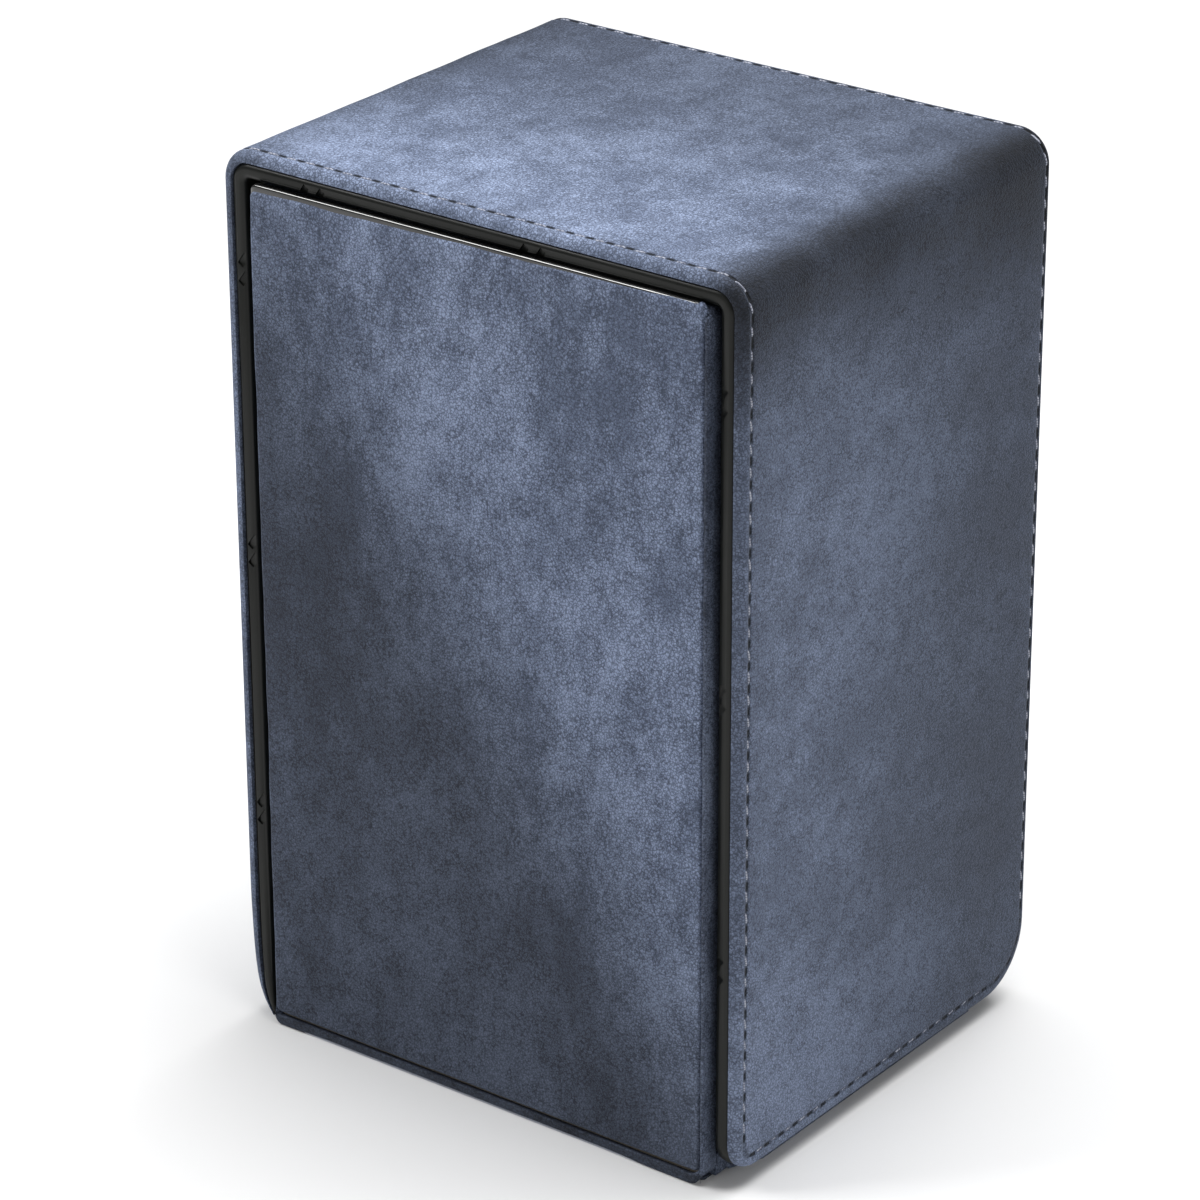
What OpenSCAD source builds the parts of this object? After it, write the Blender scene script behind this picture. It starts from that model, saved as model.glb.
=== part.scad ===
// Card deck box: a leatherette arch over a suede base, back and hinged front flap.
// Millimetres, +Z up. The origin is the centre of the footprint, on the table.

/* [Case] */
// Overall width across the arch
case_w = 108; // [104:0.5:114]
// Depth of the arch, without the flap standing proud of it
case_d = 89; // [86:0.5:96]
// Overall height
case_h = 165; // [160:1:175]
// Outer radius of the two long top edges
edge_r = 6; // [5.5:0.5:8]
// Height of the lower edge of the arch above the table
arch_lift = 3.2; // [2:0.1:4]
// Radius of the lower front corners of the arch, seen from the side
toe_r = 6; // [5:0.5:8]
// Radius of the lower back corners of the arch, seen from the side
heel_r = 12; // [10:0.5:14]

/* [Arch layers] */
// Thickness of the leatherette
skin_t = 0.8; // [0.6:0.1:1]
// Thickness of the stiff board under the leatherette
board_t = 1.3; // [1:0.1:1.6]
// Wall of the black liner
liner_t = 1.6; // [1.4:0.1:2]
// Width of the liner's bead at the front and back edges
bead_w = 3; // [2.6:0.1:3.6]
// Depth of the bead, front to back
bead_d = 5; // [4:0.5:6]
// Rounding of the bead's outer edges
bead_r = 1.2; // [0.8:0.1:1.3]

/* [Front flap] */
// Thickness of the flap
flap_t = 4.1; // [3.8:0.1:4.5]
// How far the flap stands proud of the arch
flap_proud = 1.6; // [1:0.1:2.4]
// Gap between each side of the flap and the bead
flap_side_gap = 1.4; // [1:0.1:2.2]
// Gap between the top of the flap and the bead
flap_top_gap = 0.6; // [0.5:0.1:1]
// Width of the wrapped border beside the face panel
face_border = 0.6; // [0.4:0.1:1.5]
// Height of the wrapped border under the face panel
foot_border = 1.4; // [1:0.1:2.5]
// Width of the groove between the border and the face panel
face_groove = 0.4; // [0.3:0.1:0.7]
// Height of the black strip along the top of the flap
top_trim_h = 1.2; // [1:0.1:2]
// Radius of the flap's upper corners
flap_corner = 1.2; // [1:0.1:1.6]

/* [Inside] */
// Thickness of the base, leatherette included
base_t = 4.6; // [4.2:0.1:6]
// Height of the underside of the shelf
shelf_z = 56; // [50:1:58]
// Thickness of the shelf
shelf_t = 3; // [2.5:0.1:4]
// Thickness of the back panel
back_t = 4.1; // [3.8:0.1:5]
// Thickness of the felt on the back panel and the base
felt_t = 0.6; // [0.5:0.1:0.8]
// Wall of the card tray and of the drawer
tray_t = 1.6; // [1.4:0.1:2]
// Height of the card tray's side walls
tray_h = 62; // [50:1:80]
// Height of the card tray's front lip
tray_lip = 16; // [12:1:24]
// Travel of the card divider from its place at the left
divider_travel = 82; // [60:1:84]

/* [Stitching] */
// Distance of the stitch line from the front and back edges
hem = 2; // [1.8:0.1:3]
// Distance of the stitch line from the lower edge
lower_hem = 3; // [2.5:0.1:4]
// Radius that the stitch line turns through at the lower front corners
toe_turn = 2.5; // [2:0.5:3]
// Radius that the stitch line turns through at the lower back corners
heel_turn = 9.5; // [8:0.5:10]
// Pitch of the stitches
stitch_pitch = 4; // [3.5:0.1:5]
// Length of one stitch
stitch_l = 2.6; // [2.2:0.1:3]
// Width of the thread
thread_w = 0.4; // [0.3:0.1:0.6]

/* [Hidden] */
$fn = 64;
cut = 1;                                        // how far a cutting solid runs past what it cuts
half_w = case_w / 2;
front_y = -(case_d - flap_proud) / 2;           // front edge of the arch
back_y = (case_d + flap_proud) / 2;             // back edge of the arch
flap_y = front_y - flap_proud;                  // front face of the flap
shell_t = skin_t + board_t;
liner_out = half_w - shell_t;                   // outer face of the liner
wall_in = liner_out - liner_t;                  // inner face of the liner's wall
bead_in = liner_out - bead_w;                   // inner face of the bead
liner_top = case_h - shell_t;
roof_z = liner_top - liner_t;                   // underside of the liner's top
bay_top = liner_top - bead_w;                   // underside of the bead and the top lining
lining_t = bead_w - liner_t;
bead_corner = edge_r - shell_t - bead_w;        // inner radius of the bead at its upper corners
groove_d = 0.4;                                 // depth of the groove that holds the stitches
thread_t = 0.25;                                // thickness of the thread lying in the groove
flap_half = bead_in - flap_side_gap;
flap_back = flap_y + flap_t;
strip_t = 0.8;                                  // leatherette hinge strip under the flap
flap_foot = strip_t + 0.1;
flap_top = bay_top - flap_top_gap;
flap_skin = 0.7;                                // leatherette on the flap
inner_front = flap_back + 0.3;                  // foremost plane of everything behind the flap
back_out = back_y - 0.7;
back_in = back_out - back_t;
felt_back = back_in - felt_t;
tray_half = bead_in - 0.7;
tray_front = inner_front + 1.9;
tray_back = felt_back - 0.5;
tray_z = shelf_z + shelf_t + felt_t + 0.2;
drawer_z = base_t + felt_t + 0.3;
drawer_top = shelf_z - 2;
face_t = 3.2;                                   // thickness of the drawer's front
header_d = 4;
header_h = 3.7;
magnet_l = 20;
magnet_x = 24;                                  // middle of each magnet from the centre
divider_t = 1.6;
divider_x = 4.4 - tray_half;                    // middle of the divider at rest
divider_h = 88;
divider_d = 67;

// Extrudes an outline drawn in X and Z from y0 to y1
module along_y(y0, y1) {
    translate([0, y1, 0]) rotate([90, 0, 0]) linear_extrude(y1 - y0) children();
}

// Extrudes an outline drawn in Y and Z from x0 to x1
module along_x(x0, x1) {
    translate([x0, 0, 0]) rotate([90, 0, 90]) linear_extrude(x1 - x0) children();
}

// Box given by its two opposite corners
module box(low, high) {
    translate(low) cube(high - low);
}

// Outline of the arch, filled, with its two top corners rounded
module arch_fill(half, top, r) {
    translate([-half, -cut]) square([2 * half, top - r + cut]);
    translate([r - half, -cut]) square([2 * (half - r), top + cut]);
    for (side = [-1, 1]) translate([side * (half - r), top - r]) circle(r = r);
}

// Outline of one layer of the arch, between two depths from the outer face
module arch_layer(outer, inner) {
    difference() {
        arch_fill(half_w - outer, case_h - outer, edge_r - outer);
        translate([0, -cut]) arch_fill(half_w - inner, case_h - inner + cut, max(edge_r - inner, 0.5));
    }
}

// Side view of the arch, with its lower corners rounded
module side_view(inset) {
    front = front_y + inset;
    back = back_y - inset;
    low = arch_lift + inset;
    toe = toe_r - inset;
    heel = heel_r - inset;
    translate([front + toe, low]) square([back - front - toe - heel, case_h]);
    translate([front, low + toe]) square([toe + 1, case_h]);
    translate([back - heel - 1, low + heel]) square([heel + 1, case_h]);
    translate([front + toe, low + toe]) circle(r = toe);
    translate([back - heel, low + heel]) circle(r = heel);
}

// One layer of the arch as a solid, held in from its front, back and lower edges
module arch_solid(outer, inner, inset) {
    intersection() {
        along_y(front_y + inset, back_y - inset) arch_layer(outer, inner);
        along_x(-case_w, case_w) side_view(inset);
    }
}

// Space that the board fills inside the leatherette
module board_space(reach) {
    arch_solid(skin_t, shell_t + reach, skin_t);
}

// Side view of the space inside the stitch line, grown by some
module stitch_loop(grow) {
    front = front_y + hem - grow;
    back = back_y - hem + grow;
    low = arch_lift + lower_hem - grow;
    toe = toe_turn + grow;
    heel = heel_turn + grow;
    translate([front + toe, low]) square([back - front - toe - heel, case_h]);
    translate([front, low + toe]) square([toe + 1, case_h]);
    translate([back - heel - 1, low + heel]) square([heel + 1, case_h]);
    translate([front + toe, low + toe]) circle(r = toe);
    translate([back - heel, low + heel]) circle(r = heel);
}

// Shallow grooves that the stitches lie in, along both edges and round both lower hems
module stitch_grooves() {
    wide = thread_w + 0.2;
    intersection() {
        along_y(front_y - cut, back_y + cut) difference() {
            arch_fill(half_w + cut, case_h + cut, edge_r + cut);
            arch_fill(half_w - groove_d, case_h - groove_d, edge_r - groove_d);
        }
        along_x(-case_w, case_w) difference() {
            stitch_loop(wide / 2);
            stitch_loop(-wide / 2);
        }
    }
}

// Leatherette that covers the arch and turns over the edges of its boards
module shell_skin() {
    color("slategray") difference() {
        arch_solid(0, shell_t, 0);
        board_space(cut);
        stitch_grooves();
    }
}

// Part of the arch's board between two heights
module board_between(low, high, x0, x1) {
    color("tan") intersection() {
        board_space(0);
        box([x0, front_y, low], [x1, back_y, high]);
    }
}

module shell_board_left() {
    board_between(0, case_h - edge_r, -case_w, 0);
}

module shell_board_top() {
    board_between(case_h - edge_r, case_h, -case_w, case_w);
}

module shell_board_right() {
    board_between(0, case_h - edge_r, 0, case_w);
}

// Section of the bead: width along X, depth along Y from its front face at 0
module bead_section() {
    translate([0, bead_r]) square([bead_w, bead_d - bead_r]);
    translate([bead_r, 0]) square([bead_w - 2 * bead_r, bead_d]);
    for (x = [bead_r, bead_w - bead_r]) translate([x, bead_r]) circle(r = bead_r);
}

// Half of the bead on one side: the toe, the upright, the top corner and half of the top
module half_bead(toe) {
    corner_r = edge_r - shell_t;
    foot = arch_lift + toe;
    translate([bead_in, 0, foot]) linear_extrude(case_h - edge_r - foot) bead_section();
    translate([liner_out - corner_r, 0, liner_top - corner_r]) rotate([90, 0, 0])
        rotate_extrude(angle = 90) translate([corner_r - bead_w, 0]) mirror([0, 1]) bead_section();
    translate([0, 0, bay_top]) rotate([90, 0, 90])
        linear_extrude(liner_out - corner_r) rotate(90) mirror([0, 1]) bead_section();
    translate([bead_in, toe, foot]) rotate([0, 90, 0]) rotate([0, 0, -90])
        rotate_extrude(angle = 90) translate([toe, 0]) rotate(90) bead_section();
}

// Whole bead along one open edge of the arch
module bead(toe) {
    for (side = [0, 1]) mirror([side, 0, 0]) half_bead(toe);
}

// Moulded notches in the front of the bead
module bead_notches() {
    module notch() rotate([0, 35, 0]) cube([1.3, 0.7, 2.6], center = true);
    for (side = [-1, 1], z = [40, 90, 142], step = [0, 3.4]) {
        translate([side * (bead_in + 0.7), front_y, z + step]) notch();
    }
    for (x = [-36, 10], step = [0, 3.4]) translate([x + step, front_y, bay_top + 0.6]) notch();
}

// Black liner of the arch, with a rounded bead along its front and back edges
module liner_arch() {
    color([0.09, 0.1, 0.1]) difference() {
        union() {
            intersection() {
                along_y(front_y + 2, back_y - 2) arch_layer(shell_t, shell_t + liner_t);
                along_x(-case_w, case_w) side_view(0.4);
            }
            translate([0, front_y, 0]) bead(toe_r);
            translate([0, back_y, 0]) mirror([0, 1, 0]) bead(heel_r);
        }
        bead_notches();
    }
}

// Place at a run s along the arch: [x, z, angle], counted from the middle of the top
function arch_place(s, r) =
    let (flat = half_w - edge_r, arc = PI * r / 2, past = abs(s) - flat, side = sign(s))
    past < 0 ? [s, case_h - edge_r + r, 0] :
    past < arc ? let (a = 90 * past / arc)
        [side * (flat + r * sin(a)), case_h - edge_r + r * cos(a), -side * a] :
    [side * (flat + r), case_h - edge_r - (past - arc), -side * 90];

// One row of stitches over the arch, at depth y, down to where the lower hem's turn begins
module arch_stitches(y, turn) {
    r = edge_r - groove_d + thread_t / 2;
    leg = case_h - edge_r - arch_lift - lower_hem - turn - stitch_l / 2;
    half_run = half_w - edge_r + PI * r / 2 + leg;
    count = floor(half_run / stitch_pitch);
    color("lightsteelblue") for (i = [-count : count]) {
        p = arch_place(i * stitch_pitch, r);
        translate([p[0], y, p[1]]) rotate([0, -p[2], 0])
            cube([stitch_l, thread_w, thread_t], center = true);
    }
}

module front_hem_stitching() {
    arch_stitches(front_y + hem, toe_turn);
}

module back_hem_stitching() {
    arch_stitches(back_y - hem, heel_turn);
}

// Place at a run s along the lower hem: [y, z, angle], counted from the end of the front turn
function hem_place(s) =
    let (straight = case_d - 2 * hem - toe_turn - heel_turn, past = s - straight)
    let (low = arch_lift + lower_hem, a = max(0, 360 * past / (2 * PI * heel_turn)))
    past < 0 ? [front_y + hem + toe_turn + s, low, 0] :
    [back_y - hem - heel_turn * (1 - sin(a)), low + heel_turn * (1 - cos(a)), a];

module lower_hem_stitching() {
    run = PI * heel_turn / 2 + case_d - 2 * hem - toe_turn - heel_turn;
    count = floor(run / stitch_pitch);
    color("lightsteelblue") for (side = [-1, 1], i = [0 : count - 1]) {
        p = hem_place((i + 0.5) * run / count);
        translate([side * (half_w - groove_d + thread_t / 2), p[0], p[1]]) rotate([p[2], 0, 0])
            cube([thread_t, stitch_l, thread_w], center = true);
    }
}

// Footprint of the base, narrower where it passes between the beads
module base_outline(inset) {
    step_y = front_y + toe_r + 0.3;
    end_y = back_y - heel_r - 0.3;
    translate([inset - flap_half, inner_front + inset])
        square([2 * (flap_half - inset), back_out - inner_front - 2 * inset]);
    translate([inset - wall_in, step_y + inset])
        square([2 * (wall_in - inset), end_y - step_y - 2 * inset]);
}

module base_board() {
    color("tan") translate([0, 0, skin_t])
        linear_extrude(base_t - 2 * skin_t) base_outline(skin_t);
}

// Leatherette that wraps the base board all round
module base_skin() {
    color("slategray") difference() {
        linear_extrude(base_t) base_outline(0);
        translate([0, 0, skin_t]) linear_extrude(base_t - 2 * skin_t) base_outline(skin_t);
        hinge_seat();
    }
}

// Recess under the base that the hinge strip is glued into
module hinge_seat() {
    box([-flap_half, inner_front - cut, -cut], [flap_half, inner_front + 14, strip_t / 2]);
}

module base_felt() {
    color("dimgray") box([-bead_in, inner_front + 1, base_t], [bead_in, back_in, base_t + felt_t]);
}

// Flexible leatherette strip from the underside of the base to the foot of the flap
module hinge_strip() {
    color("slategray") union() {
        box([-flap_half, flap_y + 0.5, 0], [flap_half, inner_front, strip_t]);
        box([-flap_half, inner_front, 0], [flap_half, inner_front + 14, strip_t / 2]);
    }
}

// Outline of the back panel, with its top corners rounded to follow the bead
module panel_outline(half, low, high, r) {
    translate([-half, low]) square([2 * half, high - low - r]);
    translate([r - half, low]) square([2 * (half - r), high - low]);
    for (side = [-1, 1]) translate([side * (half - r), high - r]) circle(r = r);
}

module back_board() {
    color("tan") along_y(back_in, back_out - skin_t)
        panel_outline(bead_in - skin_t, base_t, bay_top - skin_t, bead_corner - skin_t);
}

// Leatherette over the outside and the edges of the back board
module back_skin() {
    color("slategray") difference() {
        along_y(back_in, back_out) panel_outline(bead_in, base_t, bay_top, bead_corner);
        along_y(back_in - cut, back_out - skin_t)
            panel_outline(bead_in - skin_t, base_t - cut, bay_top - skin_t, bead_corner - skin_t);
    }
}

module back_felt() {
    color("dimgray") along_y(felt_back, back_in)
        panel_outline(bead_in, base_t + felt_t, bay_top, bead_corner);
}

module shelf_board() {
    color("dimgray")
        box([-bead_in, inner_front + 0.6, shelf_z], [bead_in, felt_back, shelf_z + shelf_t]);
}

module shelf_felt() {
    z = shelf_z + shelf_t;
    color("dimgray") box([-bead_in, inner_front + 1, z], [bead_in, felt_back, z + felt_t]);
}

// Lining panel on one side wall, shaped to fit inside the beads and down to the base
module side_lining(side) {
    x0 = side < 0 ? -wall_in : bead_in;
    low_y = front_y + toe_r + 0.3;
    color("dimgray") along_x(x0, x0 + lining_t) union() {
        intersection() {
            side_view(bead_d);
            translate([front_y, base_t]) square([case_d, roof_z - 2.5 - base_t]);
        }
        translate([low_y, base_t]) square([back_y - heel_r - 0.3 - low_y, heel_r]);
    }
}

module bay_lining_left() {
    side_lining(-1);
}

module bay_lining_right() {
    side_lining(1);
}

module bay_lining_top() {
    half = wall_in - 2.5;
    color("dimgray") box([-half, front_y + bead_d, bay_top], [half, back_y - bead_d, roof_z]);
}

// Bar under the front of the roof that holds the case magnets
module header_bar() {
    half = bead_in - bead_corner - 0.1;
    color([0.09, 0.1, 0.1]) difference() {
        box([-half, inner_front, bay_top - header_h], [half, inner_front + header_d, bay_top]);
        for (side = [-1, 1]) case_magnet(side, 0);
    }
}

// Bar magnet in the header, or the pocket for it
module case_magnet(side, grow) {
    long = magnet_l / 2 + grow;
    translate([side * magnet_x, inner_front + header_d / 2, bay_top - header_h / 2])
        cube([2 * long, 2.4 + 2 * grow, 2.4 + 2 * grow], center = true);
}

module case_magnet_left() {
    color("silver") case_magnet(-1, 0);
}

module case_magnet_right() {
    color("silver") case_magnet(1, 0);
}

// Tray for the deck: low front lip, a finger notch in each side, and a full back
module card_tray() {
    side_high = tray_z + tray_h;
    color([0.12, 0.13, 0.14]) difference() {
        box([-tray_half, tray_front, tray_z], [tray_half, tray_back, side_high]);
        box([tray_t - tray_half, tray_front + tray_t, tray_z + tray_t],
            [tray_half - tray_t, tray_back - tray_t, side_high + cut]);
        box([tray_t - tray_half, tray_front - cut, tray_z + tray_lip],
            [tray_half - tray_t, tray_front + tray_t + cut, side_high + cut]);
        translate([0, tray_front + tray_t, side_high]) rotate([0, 90, 0])
            cylinder(r = 22, h = case_w, center = true);
    }
}

module tray_felt() {
    z = tray_z + tray_t;
    color("dimgray") box([tray_t - tray_half, tray_front + tray_t, z],
        [tray_half - tray_t, tray_back - tray_t, z + felt_t]);
}

// Ribbon that lies over the tray's lip and pulls the tray out
module lift_ribbon() {
    color("slategray") difference() {
        box([-8, tray_front - 0.5, tray_z + 4],
            [8, tray_front + tray_t + 0.5, tray_z + tray_lip + 0.5]);
        box([-9, tray_front, tray_z], [9, tray_front + tray_t, tray_z + tray_lip]);
    }
}

// Open-topped accessory drawer behind its padded front
module drawer_box() {
    y0 = tray_front + face_t;
    color([0.12, 0.13, 0.14]) difference() {
        box([-tray_half, y0, drawer_z], [tray_half, tray_back, drawer_top]);
        box([tray_t - tray_half, y0 + tray_t, drawer_z + tray_t],
            [tray_half - tray_t, tray_back - tray_t, drawer_top + cut]);
    }
}

module drawer_felt() {
    z = drawer_z + tray_t;
    color("dimgray") box([tray_t - tray_half, tray_front + face_t + tray_t, z],
        [tray_half - tray_t, tray_back - tray_t, z + felt_t]);
}

module drawer_front() {
    color("slategray") along_y(tray_front, tray_front + face_t)
        panel_outline(tray_half, drawer_z, drawer_top + 1, 1.5);
}

// Leatherette tab on the drawer's front
module drawer_pull() {
    middle = (drawer_z + drawer_top) / 2;
    color("slategray") along_y(tray_front - 0.9, tray_front) union() {
        translate([-7, middle]) square([14, drawer_top - middle - 1]);
        translate([0, middle]) circle(r = 7);
    }
}

// Outline of the flap
module flap_outline(inset) {
    panel_outline(flap_half - inset, flap_foot + inset, flap_top - inset, flap_corner - inset);
}

module flap_board() {
    color("tan") difference() {
        along_y(flap_y + 2 * flap_skin, flap_back - flap_skin) flap_outline(flap_skin);
        for (side = [-1, 1]) flap_magnet(side);
    }
}

// Face panel, set in the border with a groove round it
module flap_face() {
    color("slategray") along_y(flap_y, flap_y + 2 * flap_skin)
        panel_outline(flap_half - face_border - face_groove,
            flap_foot + foot_border + face_groove, flap_top - top_trim_h, 2);
}

// Leatherette round the edges of the board, with the raised border on its front
module flap_wrap() {
    color("slategray") difference() {
        along_y(flap_y, flap_back) flap_outline(0);
        along_y(flap_y + 2 * flap_skin, flap_back + cut) flap_outline(flap_skin);
        along_y(flap_y - cut, flap_y + 2 * flap_skin + cut / 2)
            panel_outline(flap_half - face_border, flap_foot + foot_border, flap_top + cut, 0.5);
    }
}

// Black strip along the top edge of the face
module flap_top_trim() {
    color([0.09, 0.1, 0.1]) along_y(flap_y + 0.2, flap_y + 2 * flap_skin) intersection() {
        flap_outline(0);
        translate([face_border - flap_half, flap_top - top_trim_h])
            square([2 * (flap_half - face_border), top_trim_h]);
    }
}

module flap_lining() {
    color("dimgray") along_y(flap_back - flap_skin, flap_back) flap_outline(flap_skin);
}

// Flat magnet in the flap board, in front of the case magnet
module flap_magnet(side) {
    back = flap_back - flap_skin;
    translate([side * magnet_x, back - 0.75, bay_top - header_h / 2 - 1.5])
        cube([magnet_l, 1.5, 3], center = true);
}

module flap_magnet_left() {
    color("silver") flap_magnet(-1);
}

module flap_magnet_right() {
    color("silver") flap_magnet(1);
}

// Card divider: an upright plate on a short foot
module card_divider() {
    z = tray_z + tray_t + felt_t + 0.3;
    middle = (tray_front + tray_back) / 2;
    color([0.12, 0.13, 0.14]) union() {
        along_x(divider_x - divider_t / 2, divider_x + divider_t / 2) translate([middle, z])
            divider_outline();
        box([divider_x - 2.2, middle - 30, z], [divider_x + 2.2, middle + 30, z + 1.6]);
    }
}

// Divider plate with rounded top corners and a thumb notch
module divider_outline() {
    difference() {
        panel_outline(divider_d / 2, 0, divider_h, 6);
        translate([0, divider_h + 4]) circle(r = 14);
    }
}

shell_skin();
shell_board_left();
shell_board_top();
shell_board_right();
liner_arch();
front_hem_stitching();
back_hem_stitching();
lower_hem_stitching();
base_board();
base_skin();
base_felt();
hinge_strip();
back_board();
back_skin();
back_felt();
shelf_board();
shelf_felt();
bay_lining_left();
bay_lining_top();
bay_lining_right();
header_bar();
case_magnet_left();
case_magnet_right();
card_tray();
tray_felt();
lift_ribbon();
drawer_box();
drawer_felt();
drawer_front();
drawer_pull();
flap_board();
flap_face();
flap_wrap();
flap_top_trim();
flap_lining();
flap_magnet_left();
flap_magnet_right();
card_divider();
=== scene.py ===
import math
import random

import bmesh
import bpy
from mathutils import Matrix, Vector, noise


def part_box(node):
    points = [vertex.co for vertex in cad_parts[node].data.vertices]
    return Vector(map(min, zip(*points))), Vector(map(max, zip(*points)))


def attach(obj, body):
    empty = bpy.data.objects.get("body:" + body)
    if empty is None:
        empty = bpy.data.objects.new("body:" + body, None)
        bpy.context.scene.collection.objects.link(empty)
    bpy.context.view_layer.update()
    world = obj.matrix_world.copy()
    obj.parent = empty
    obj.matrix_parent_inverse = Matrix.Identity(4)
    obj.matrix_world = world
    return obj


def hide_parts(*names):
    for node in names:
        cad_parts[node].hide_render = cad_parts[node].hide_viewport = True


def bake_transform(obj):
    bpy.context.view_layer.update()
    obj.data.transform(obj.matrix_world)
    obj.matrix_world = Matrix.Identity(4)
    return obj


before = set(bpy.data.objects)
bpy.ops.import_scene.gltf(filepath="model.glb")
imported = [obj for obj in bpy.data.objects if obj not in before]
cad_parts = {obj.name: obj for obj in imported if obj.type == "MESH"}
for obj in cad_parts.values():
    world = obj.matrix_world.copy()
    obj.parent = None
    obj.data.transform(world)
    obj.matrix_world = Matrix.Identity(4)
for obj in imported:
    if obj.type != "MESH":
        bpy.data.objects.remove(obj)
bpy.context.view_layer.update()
mm = 0.001
X, Y, Z = 0, 1, 2


# picking and shaping, as by hand

def leaveAll():
    if bpy.context.object and bpy.context.object.mode != "OBJECT":
        bpy.ops.object.mode_set(mode="OBJECT")
    bpy.ops.object.select_all(action="DESELECT")


def workOn(piece):
    leaveAll()
    piece.select_set(True)
    bpy.context.view_layer.objects.active = piece


def addBlock(name, low, high):
    leaveAll()
    low, high = Vector(low), Vector(high)
    bpy.ops.mesh.primitive_cube_add(size=1, location=(low + high) / 2)
    piece = bpy.context.object
    piece.name = piece.data.name = name
    piece.scale = high - low
    bpy.ops.object.transform_apply(location=True, rotation=True, scale=True)
    return piece


def pick(piece, kind, test):
    if piece.mode != "EDIT":
        workOn(piece)
        bpy.ops.object.mode_set(mode="EDIT")
    bpy.ops.mesh.select_mode(type=kind)
    bpy.ops.mesh.select_all(action="DESELECT")
    cage = bmesh.from_edit_mesh(piece.data)
    cage.normal_update()
    for item in {"VERT": cage.verts, "EDGE": cage.edges, "FACE": cage.faces}[kind]:
        if test(item):
            item.select_set(True)
    cage.select_flush_mode()
    bmesh.update_edit_mesh(piece.data)


def middle(edge):
    return (edge.verts[0].co + edge.verts[1].co) / 2


def runs(edge, axis):
    along = edge.verts[1].co - edge.verts[0].co
    return along.length > 1e-9 and abs(along[axis]) / along.length > 0.99


def near(value, *spots):
    return any(abs(value - spot) < 0.02 * mm for spot in spots)


def liesAt(edge, axis, spot):
    return all(near(vertex.co[axis], spot) for vertex in edge.verts)


def isSharp(edge):
    return edge.calc_face_angle(0) > 0.5


def isAlong(edge, axis, **spots):  # runs along the axis, with its middle at these spots, as in z=0
    at = middle(edge)
    return runs(edge, axis) and all(near(getattr(at, letter), spot) for letter, spot in spots.items())


def roundEdges(piece, width, rounds, test):
    pick(piece, "EDGE", test)
    bpy.ops.mesh.bevel(offset=width, offset_type="OFFSET", segments=rounds, profile=0.5, affect="EDGES",
                       clamp_overlap=True)


def sliceAcross(piece, axis, cuts, where=lambda face: True):  # adds an edge loop at each cut
    across = Vector((0, 0, 0))
    across[axis] = 1
    for cut in cuts:
        pick(piece, "FACE", where)
        bpy.ops.mesh.bisect(plane_co=across * cut, plane_no=across)


def evenCuts(low, high, step):
    count = max(1, round((high - low) / step))
    return [low + (high - low) * i / count for i in range(1, count)]


def sliceEvenly(piece, low, high, step, axes=(Z, X)):
    for axis in axes:
        sliceAcross(piece, axis, evenCuts(low[axis], high[axis], step))


def finishWith(piece, kind, **settings):
    workOn(piece)
    modifier = piece.modifiers.new(kind.title(), kind)
    for key, value in settings.items():
        setattr(modifier, key, value)
    bpy.ops.object.modifier_apply(modifier=modifier.name)


def weigh(piece, weightAt):  # a vertex group whose weight is worked out at each point
    leaveAll()
    group = piece.vertex_groups.new(name="weighed")
    for vertex in piece.data.vertices:
        weight = weightAt(vertex.co)
        if weight > 0.001:
            group.add([vertex.index], min(1, weight), "REPLACE")
    return group.name


def rumple(piece, size, depth, weightAt=None):  # soft unevenness, as glued leather has
    group = weigh(piece, weightAt) if weightAt else ""
    clouds = bpy.data.textures.new(piece.name + "Rumple", "CLOUDS")
    clouds.noise_scale = size
    clouds.noise_depth = 2
    finishWith(piece, "DISPLACE", texture=clouds, texture_coords="LOCAL", strength=depth,
               mid_level=0.5, vertex_group=group)
    piece.vertex_groups.clear()


def roundOver(piece, angle=35):
    workOn(piece)
    bpy.ops.object.shade_smooth_by_angle(angle=math.radians(angle))


def joinInto(name, parts):
    leaveAll()
    for part in parts:
        part.select_set(True)
    bpy.context.view_layer.objects.active = parts[0]
    bpy.ops.object.join()
    parts[0].name = parts[0].data.name = name
    return parts[0]


def settle(piece, body, material, slotName, *nodes):  # rides, replaces and wears
    leaveAll()
    piece.data.materials.clear()
    piece.data.materials.append(material)
    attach(piece, body)
    if nodes:
        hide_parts(*nodes)
    return piece


# shader effects that several materials share

def fill(tree, node, sockets):  # links what comes from another node, and sets plain values
    for key, value in sockets.items():
        if isinstance(value, bpy.types.NodeSocket):
            tree.links.new(value, node.inputs[key])
        else:
            node.inputs[key].default_value = value


def place(tree, kind, sockets=None, **settings):
    node = tree.nodes.new("ShaderNode" + kind)
    for key, value in settings.items():
        setattr(node, key, value)
    fill(tree, node, sockets or {})
    return node


def maths(tree, operation, a, b=0.0, c=0.0):
    return place(tree, "Math", {0: a, 1: b, 2: c}, operation=operation).outputs[0]


def times(tree, a, b):
    return maths(tree, "MULTIPLY", a, b)


def minus(tree, a, b):
    return maths(tree, "SUBTRACT", a, b)


def noiseAt(tree, vector, scale, detail, roughness=0.5, distortion=0.0):
    sockets = {"Vector": vector, "Scale": scale, "Detail": detail, "Roughness": roughness,
               "Distortion": distortion}
    return place(tree, "TexNoise", sockets).outputs[0]


def axisOf(tree, vector, axis):
    return place(tree, "SeparateXYZ", {0: vector}).outputs[axis]


def bumped(tree, height, strength, distance):
    return place(tree, "Bump", {"Height": height, "Strength": strength, "Distance": distance}).outputs[0]


def scaled(tree, vector, scale):
    return place(tree, "VectorMath", {0: vector, 3: scale}, operation="SCALE").outputs[0]


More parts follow.
